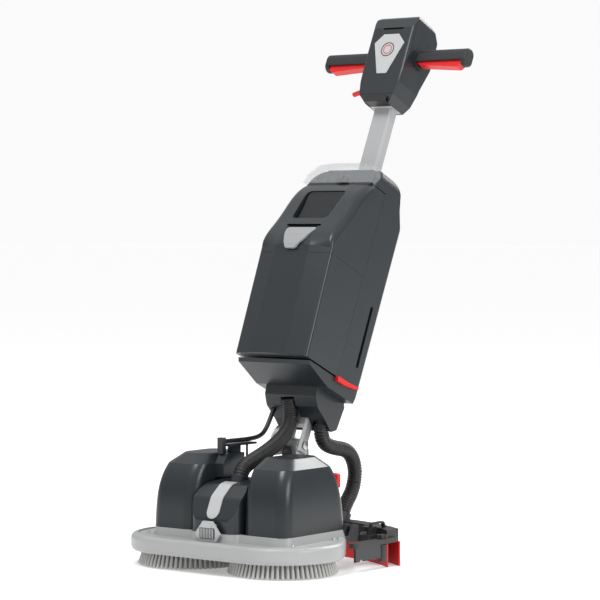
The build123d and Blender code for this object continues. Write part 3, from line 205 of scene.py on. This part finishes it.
# Clear plastic of the lid and smoked plastic of the window: each covers only part of what is behind
# it and carries a fine uneven polish.
for name, colour, roughness, cover in (
    ("clear_plastic", (0.55, 0.58, 0.60), 0.06, 0.16),
    ("smoked_plastic", (0.006, 0.008, 0.010), 0.07, 0.72),
):
    clear = finish_material(name, colour, roughness, 900, 0.02, 0.02)
    clear.node_tree.nodes["Principled BSDF"].inputs["Alpha"].default_value = cover
    materials[name] = clear

for part in frame["record"]["subparts"]:
    mesh = nodes[part["node"]].data
    mesh.materials.clear()
    mesh.materials.append(materials[part["material_slot"]])
nodes["tank_latch"].data.materials[0] = materials["scoop_grey"]
nodes["splash_guards"].data.materials[0] = materials["body_plastic"]

# ------------------------------------------------------------------ hoses and water tube
# Each piece follows its own route's smooth spline over the one joint that it crosses, and is not attached to
# either body. The vacuum hoses are ribbed, and the water tube is smooth.
HOSE_RADIUS = 0.0165
RIB_PITCH = 0.0056
RIB_DEPTH = 0.0017
FRONT_LOWER = (
    (0, 0.010684, 0.18888), (0, 0.014296, 0.198804), (0, 0.0204, 0.2071), (0, 0.0299, 0.2145),
    (0, 0.051, 0.2225), (0, 0.0755, 0.23025),
)
FRONT_UPPER = (
    (0, 0.0755, 0.23025), (0, 0.100, 0.238), (0, 0.143, 0.257), (-0.002, 0.174, 0.276),
    (-0.005, 0.190, 0.298), (-0.008, 0.194, 0.325), (-0.0095, 0.189, 0.348),
)
REAR_TOP = (
    (0.047, 0.2402, 0.306), (0.047, 0.231, 0.286), (0.047, 0.233, 0.263), (0.047, 0.2475, 0.2455),
    (0.0475, 0.279, 0.236), (0.04775, 0.2985, 0.233),
)
REAR_MIDDLE = (
    (0.04775, 0.2985, 0.233), (0.048, 0.318, 0.230), (0.0485, 0.3379, 0.2166), (0.049, 0.3499, 0.1958),
    (0.0495, 0.3525, 0.1709), (0.04975, 0.3471, 0.15375),
)
REAR_BASE = (
    (0.04975, 0.3471, 0.15375), (0.050, 0.3417, 0.1366), (0.050, 0.3145, 0.10831),
    (0.050, 0.300001, 0.083198),
)
TUBE_LOWER = ((-0.058, 0.026, 0.262), (-0.058, 0.060, 0.262), (-0.058, 0.086, 0.2618))
TUBE_UPPER = (
    (-0.058, 0.086, 0.2618), (-0.058, 0.112, 0.2616), (-0.058, 0.150, 0.2646), (-0.058, 0.170, 0.277),
    (-0.058, 0.187, 0.302), (-0.058, 0.2025, 0.3275),
)
HOSES = (
    ("front_hose_lower", FRONT_LOWER, HOSE_RADIUS, RIB_DEPTH, "deck", "knuckle", "hose"),
    ("front_hose_upper", FRONT_UPPER, HOSE_RADIUS, RIB_DEPTH, "knuckle", "column", "hose"),
    ("rear_hose_top", REAR_TOP, HOSE_RADIUS, RIB_DEPTH, "column", "knuckle", "hose"),
    ("rear_hose_middle", REAR_MIDDLE, HOSE_RADIUS, RIB_DEPTH, "knuckle", "deck", "hose"),
    ("rear_hose_base", REAR_BASE, HOSE_RADIUS, RIB_DEPTH, "deck", "squeegee", "hose"),
    ("water_tube_lower", TUBE_LOWER, 0.005, 0.0, "deck", "knuckle", "tube"),
    ("water_tube_upper", TUBE_UPPER, 0.005, 0.0, "knuckle", "column", "tube"),
)
SIDES_ROUND = 28
for name, route, radius, rib_depth, first_body, last_body, slot_name in HOSES:
    curve = bpy.data.curves.new(name + "_route", "CURVE")
    curve.dimensions = "3D"
    spline = curve.splines.new("NURBS")
    spline.points.add(len(route) - 1)
    for control, (x, y, z) in zip(spline.points, route):
        control.co = (x, BRUSH_LINE + y, z, 1)
    spline.order_u = 3
    spline.use_endpoint_u = True
    spline.resolution_u = 24
    holder = bpy.data.objects.new(name + "_route", curve)
    bpy.context.scene.collection.objects.link(holder)
    bpy.context.view_layer.update()
    evaluated = holder.evaluated_get(bpy.context.evaluated_depsgraph_get())
    centreline = [v.co.copy() for v in bpy.data.meshes.new_from_object(evaluated).vertices]
    bpy.data.objects.remove(holder)
    stations = [0.0]
    for before, after in zip(centreline, centreline[1:]):
        stations.append(stations[-1] + (after - before).length)
    ribs = max(1, round(stations[-1] / RIB_PITCH))
    rings = ribs * 6 if rib_depth else 40
    points = []
    faces = []
    sideways = Vector((1, 0, 0))
    segment = 0
    for ring in range(rings + 1):
        distance = stations[-1] * ring / rings
        while segment < len(stations) - 2 and stations[segment + 1] < distance:
            segment += 1
        share = (distance - stations[segment]) / max(stations[segment + 1] - stations[segment], 1e-9)
        centre = centreline[segment].lerp(centreline[segment + 1], min(share, 1))
        heading = (centreline[segment + 1] - centreline[segment]).normalized()
        sideways = (sideways - heading * sideways.dot(heading)).normalized()
        upward = heading.cross(sideways)
        swell = 0.5 - 0.5 * math.cos(2 * math.pi * ribs * ring / rings)
        ring_radius = radius - rib_depth * (1 - swell**0.6)
        for step in range(SIDES_ROUND):
            angle = 2 * math.pi * step / SIDES_ROUND
            points.append(centre + (sideways * math.cos(angle) + upward * math.sin(angle)) * ring_radius)
            if ring < rings:
                start = ring * SIDES_ROUND
                beside = (step + 1) % SIDES_ROUND
                above = start + SIDES_ROUND
                faces.append((start + step, start + beside, above + beside, above + step))
    faces.append(tuple(reversed(range(SIDES_ROUND))))
    faces.append(tuple(range(rings * SIDES_ROUND, (rings + 1) * SIDES_ROUND)))
    mesh = bpy.data.meshes.new(name + "_look")
    mesh.from_pydata(points, [], faces)
    mesh.shade_smooth()
    mesh.materials.append(materials[slot_name])
    hose = bpy.data.objects.new(name + "_look", mesh)
    bpy.context.scene.collection.objects.link(hose)
    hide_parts(name)
    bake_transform(hose)

# ------------------------------------------------------------------ studs: what repeats
# A seed is a small triangle that faces the way its stud points. The tree turns every seed into a
# stud of stated size; it makes the bristle tufts and the screw heads.
stud_tree = bpy.data.node_groups.new("studs on seeds", "GeometryNodeTree")
stud_tree.interface.new_socket("Seeds", in_out="INPUT", socket_type="NodeSocketGeometry")
for label, kind in (
    ("Root radius", "NodeSocketFloat"),
    ("Tip radius", "NodeSocketFloat"),
    ("Length", "NodeSocketFloat"),
    ("Sides", "NodeSocketInt"),
    ("Material", "NodeSocketMaterial"),
):
    stud_tree.interface.new_socket(label, in_out="INPUT", socket_type=kind)
stud_tree.interface.new_socket("Studs", in_out="OUTPUT", socket_type="NodeSocketGeometry")
seeds_in = stud_tree.nodes.new("NodeGroupInput")
studs_out = stud_tree.nodes.new("NodeGroupOutput")
to_points = stud_tree.nodes.new("GeometryNodeMeshToPoints")
to_points.mode = "FACES"
facing = stud_tree.nodes.new("GeometryNodeInputNormal")
keep_facing = stud_tree.nodes.new("GeometryNodeCaptureAttribute")
keep_facing.domain = "FACE"
keep_facing.capture_items.new("VECTOR", "facing")
turn = stud_tree.nodes.new("FunctionNodeAlignRotationToVector")
turn.axis = "Z"
stud = stud_tree.nodes.new("GeometryNodeMeshCone")
place_studs = stud_tree.nodes.new("GeometryNodeInstanceOnPoints")
realize = stud_tree.nodes.new("GeometryNodeRealizeInstances")
paint = stud_tree.nodes.new("GeometryNodeSetMaterial")
join = stud_tree.links.new
join(seeds_in.outputs["Seeds"], keep_facing.inputs["Geometry"])
join(facing.outputs["Normal"], keep_facing.inputs[1])
join(keep_facing.outputs["Geometry"], to_points.inputs["Mesh"])
join(keep_facing.outputs[1], turn.inputs["Vector"])
join(to_points.outputs["Points"], place_studs.inputs["Points"])
join(turn.outputs["Rotation"], place_studs.inputs["Rotation"])
join(seeds_in.outputs["Root radius"], stud.inputs["Radius Bottom"])
join(seeds_in.outputs["Tip radius"], stud.inputs["Radius Top"])
join(seeds_in.outputs["Length"], stud.inputs["Depth"])
join(seeds_in.outputs["Sides"], stud.inputs["Vertices"])
join(stud.outputs["Mesh"], place_studs.inputs["Instance"])
join(place_studs.outputs["Instances"], realize.inputs["Geometry"])
join(realize.outputs["Geometry"], paint.inputs["Geometry"])
join(seeds_in.outputs["Material"], paint.inputs["Material"])
join(paint.outputs["Geometry"], studs_out.inputs["Studs"])


SEED_RADIUS = 1e-4


def studs(name, seeds, root_radius, tip_radius, length, sides, material, body):
    """Studs at seeds, each a place and a direction, as one plain mesh that rides on a body."""
    corners = []
    for spot, direction in seeds:
        across = direction.orthogonal().normalized()
        beyond = direction.cross(across).normalized()
        for turn_angle in (0, 2 * math.pi / 3, 4 * math.pi / 3):
            corner = across * math.cos(turn_angle) + beyond * math.sin(turn_angle)
            corners.append(spot + corner * SEED_RADIUS)
    seed_mesh = bpy.data.meshes.new(name + "_seeds")
    seed_mesh.from_pydata(corners, [], [(i, i + 1, i + 2) for i in range(0, len(corners), 3)])
    seed_object = bpy.data.objects.new(name + "_seeds", seed_mesh)
    bpy.context.scene.collection.objects.link(seed_object)
    modifier = seed_object.modifiers.new("studs", "NODES")
    modifier.node_group = stud_tree
    values = {
        "Root radius": root_radius, "Tip radius": tip_radius, "Length": length,
        "Sides": sides, "Material": materials[material],
    }
    for item in stud_tree.interface.items_tree:
        if item.in_out == "INPUT" and item.name in values:
            modifier[item.identifier] = values[item.name]
    bpy.context.view_layer.update()
    evaluated = seed_object.evaluated_get(bpy.context.evaluated_depsgraph_get())
    solid = bpy.data.objects.new(name, bpy.data.meshes.new_from_object(evaluated))
    bpy.data.objects.remove(seed_object)
    bpy.context.scene.collection.objects.link(solid)
    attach(solid, body)
    return solid


# Bristle tufts, in rings that lean outwards more towards the rim.
for side_name in ("left", "right"):
    low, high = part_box(f"bristles_{side_name}")
    centre = (low + high) / 2
    rim = (high.x - low.x) / 2
    tufts = []
    for ring in range(6):
        ring_radius = rim * (0.50 + 0.072 * ring)
        count = round(2 * math.pi * ring_radius / 0.0098)
        for step in range(count):
            angle = 2 * math.pi * (step + 0.5 * (ring % 2)) / count
            out = Vector((math.cos(angle), math.sin(angle), 0))
            root = Vector((centre.x, centre.y, high.z + 0.001)) + out * ring_radius
            tip = Vector((root.x, root.y, low.z)) + out * (0.0105 * ring / 5)
            tufts.append((root, (tip - root).normalized()))
    tuft_length = high.z - low.z + 0.0005
    brush = f"brush_{side_name}"
    bristles = studs(f"tufts_{side_name}", tufts, 0.0024, 0.0034, tuft_length, 7, "bristle", brush)
    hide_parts(f"bristles_{side_name}")

# Screw heads on the covers, the housing's back and the head's back.
deck_screws = []
for x, y in ((-0.196, -0.060), (-0.196, 0.080), (0.196, -0.060), (0.196, 0.080)):
    deck_screws.append((Vector((x, BRUSH_LINE + y, 0.068)), Vector((0, 0, 1))))
studs("deck_screws", deck_screws, 0.0042, 0.0032, 0.0022, 18, "steel", "deck")
back_screws = []
for across, along in ((-0.075, 0.17), (0.075, 0.17), (-0.075, 0.49), (0.075, 0.49), (0.0, 0.33)):
    back_screws.append((on_column(across, 0.0445, along), BEHIND))
for across, along in ((-0.034, 0.945), (0.034, 0.945)):
    back_screws.append((on_column(across, 0.0445, along), BEHIND))
studs("column_screws", back_screws, 0.0040, 0.0032, 0.0024, 18, "steel", "column")


# ------------------------------------------------------------------ marks and trim
def slab(name, centre, right, up, width, tall, thick, material, body, bevel=0.0004):
    """A flat piece with softened edges: centre of its back, its two directions and its sizes."""
    out = right.cross(up)
    corners = []
    for depth in (0, thick):
        for a, b in ((-0.5, -0.5), (0.5, -0.5), (0.5, 0.5), (-0.5, 0.5)):
            corners.append(centre + right * (a * width) + up * (b * tall) + out * depth)
    mesh = bpy.data.meshes.new(name)
    sides = [(i, (i + 1) % 4, (i + 1) % 4 + 4, i + 4) for i in range(4)]
    mesh.from_pydata(corners, [], [(3, 2, 1, 0), (4, 5, 6, 7)] + sides)
    mesh.materials.append(materials[material])
    piece = bpy.data.objects.new(name, mesh)
    bpy.context.scene.collection.objects.link(piece)
    soften = piece.modifiers.new("edges", "BEVEL")
    soften.width = bevel
    soften.segments = 2
    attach(piece, body)
    return piece


def band_ring(name, centre, normal, radius, thickness, material, body):
    """A round wire ring that lies flat on a face."""
    around = 48
    across = normal.orthogonal().normalized()
    beyond = normal.cross(across).normalized()
    points = []
    faces = []
    for i in range(around):
        angle = 2 * math.pi * i / around
        out = across * math.cos(angle) + beyond * math.sin(angle)
        for j in range(8):
            turn_angle = 2 * math.pi * j / 8
            ring_point = centre + out * (radius + thickness * math.cos(turn_angle))
            points.append(ring_point + normal * thickness * math.sin(turn_angle))
            k = (i + 1) % around
            faces.append((i * 8 + j, k * 8 + j, k * 8 + (j + 1) % 8, i * 8 + (j + 1) % 8))
    mesh = bpy.data.meshes.new(name)
    mesh.from_pydata(points, [], faces)
    mesh.shade_smooth()
    mesh.materials.append(materials[material])
    piece = bpy.data.objects.new(name, mesh)
    bpy.context.scene.collection.objects.link(piece)
    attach(piece, body)
    return piece


RIGHT = Vector((1, 0, 0))
UP = Vector((0, 0, 1))
# The head's plate carries two plain rings around a red boss.
plate_middle = on_column(0, -0.0525, 0.938)
band_ring("plate_ring", plate_middle, -BEHIND, 0.0165, 0.0011, "body_plastic", "column")
band_ring("plate_ring_inner", plate_middle, -BEHIND, 0.0105, 0.0009, "red_plastic", "column")

# The collar's front and foot close the notch in the head's front shell.
collar_width = 0.060
front_place = on_column(0, -0.0480, 0.8155)
slab("collar_front", front_place, RIGHT, ALONG, collar_width, 0.0125, 0.0012, "black_plastic", "column")
foot_place = on_column(0, -0.0350, 0.8090)
slab("collar_foot", foot_place, RIGHT, BEHIND, collar_width, 0.0255, 0.0012, "black_plastic", "column")

# A round float and its stem stand behind the smoked window.
float_middle = on_column(0.012, -0.1245, 0.492)
band_ring("float_rim", float_middle, -BEHIND, 0.0165, 0.0016, "silver_plastic", "column")
stem_place = on_column(-0.024, -0.1235, 0.507)
slab("float_stem", stem_place, RIGHT, ALONG, 0.0035, 0.020, 0.0012, "silver_plastic", "column")

# The front badge has a dark sunken field with upright silver ribs under a pointed plate.
low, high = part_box("front_badge")
badge = Vector((0, low.y + 0.0002, (low.z + high.z) / 2))
slab("badge_field", badge - UP * 0.004, RIGHT, UP, 0.040, 0.022, 0.0006, "black_plastic", "deck", 0.0002)
for i in range(9):
    rib_place = badge + RIGHT * (0.0042 * (i - 4)) - UP * 0.004 - Vector((0, 0.0005, 0))
    slab(f"badge_rib_{i}", rib_place, RIGHT, UP, 0.0019, 0.020, 0.0012, "silver_plastic", "deck", 0.0002)

# The control panel's face: two round keys and a row of charge lights beside the knob.
low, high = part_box("speed_knob")
knob_low = on_column(0, -0.0775, 0.5914)
slope = (BEHIND * 26 + ALONG * 50).normalized()
face_out = RIGHT.cross(slope).normalized()
panel_face = knob_low + face_out * 0.0031
band_ring("knob_ring", panel_face, face_out, 0.0175, 0.0008, "silver_plastic", "column")
for i in range(5):
    light_place = panel_face + RIGHT * (0.026 + 0.008 * i) + slope * 0.006
    slab(
        f"charge_light_{i}", light_place, RIGHT, slope, 0.0055, 0.0035, 0.0006, "silver_plastic", "column", 0.0002
    )
for side_name, across in (("left", -0.040), ("right", 0.040)):
    key_place = panel_face + RIGHT * across + slope * 0.018
    band_ring(f"key_{side_name}", key_place, face_out, 0.0062, 0.0007, "silver_plastic", "column")
for i, across in enumerate((-0.052, -0.036, 0.020, 0.062)):
    mark_place = panel_face + RIGHT * across + slope * 0.026
    slab(
        f"panel_mark_{i}", mark_place, RIGHT, slope, 0.0016, 0.007, 0.0005, "silver_plastic", "column", 0.0002
    )
strip_place = panel_face + slope * 0.024
slab("panel_strip", strip_place, RIGHT, slope, 0.040, 0.0075, 0.0006, "silver_plastic", "column", 0.0003)
knob_top = panel_face + face_out * 0.0095 + slope * 0.004
slab("knob_mark", knob_top, RIGHT, slope, 0.0018, 0.008, 0.0006, "red_plastic", "speed_knob", 0.0002)

# ------------------------------------------------------------------ floor and light
# A wide pale floor under a white studio. The studio's light is strong overhead and weak along the
# horizon, so upright faces stay dark and top edges catch a soft line of light.
floor_mesh = bpy.data.meshes.new("floor")
reach = 60.0
floor_mesh.from_pydata(
    [(-reach, -reach, 0), (reach, -reach, 0), (reach, reach, 0), (-reach, reach, 0)], [], [(0, 1, 2, 3)]
)
floor_material = finish_material("floor", (0.86, 0.86, 0.86), 0.80, 60, 0.02, 0.0)
floor_shader = floor_material.node_tree.nodes["Principled BSDF"]
floor_shader.inputs["Emission Color"].default_value = (1, 1, 1, 1)
floor_shader.inputs["Emission Strength"].default_value = 0.28
floor_mesh.materials.append(floor_material)
floor = bpy.data.objects.new("floor", floor_mesh)
bpy.context.scene.collection.objects.link(floor)

bpy.context.scene.view_settings.view_transform = "Standard"
world = bpy.data.worlds.new("studio")
bpy.context.scene.world = world
world.use_nodes = True
sky = world.node_tree.nodes
seen = sky["Background"]
seen.inputs["Color"].default_value = (0.96, 0.96, 0.96, 1)
lighting = sky.new("ShaderNodeBackground")
direction = sky.new("ShaderNodeTexCoord")
direction_parts = sky.new("ShaderNodeSeparateXYZ")
overhead = sky.new("ShaderNodeMapRange")
overhead.inputs["From Max"].default_value = 0.85
overhead.inputs["To Min"].default_value = 0.28
overhead.inputs["To Max"].default_value = 1.25
sight = sky.new("ShaderNodeLightPath")
choose = sky.new("ShaderNodeMixShader")
wire = world.node_tree.links.new
wire(direction.outputs["Generated"], direction_parts.inputs["Vector"])
wire(direction_parts.outputs["Z"], overhead.inputs["Value"])
wire(overhead.outputs["Result"], lighting.inputs["Strength"])
wire(sight.outputs["Is Camera Ray"], choose.inputs["Fac"])
wire(lighting.outputs["Background"], choose.inputs[1])
wire(seen.outputs["Background"], choose.inputs[2])
wire(choose.outputs["Shader"], sky["World Output"].inputs["Surface"])
for name, place_at, power, size in (
    ("key", (0.2, -2.6, 5.0), 120, 1.6),
    ("fill", (3.4, -0.6, 1.6), 35, 1.2),
    ("rim", (0.6, 3.0, 2.8), 80, 1.6),
):
    lamp = bpy.data.lights.new(name, "AREA")
    lamp.energy = power
    lamp.size = size
    light = bpy.data.objects.new(name, lamp)
    light.location = place_at
    light.rotation_euler = (Vector((0, 0, 0.6)) - Vector(place_at)).to_track_quat("-Z", "Y").to_euler()
    bpy.context.scene.collection.objects.link(light)
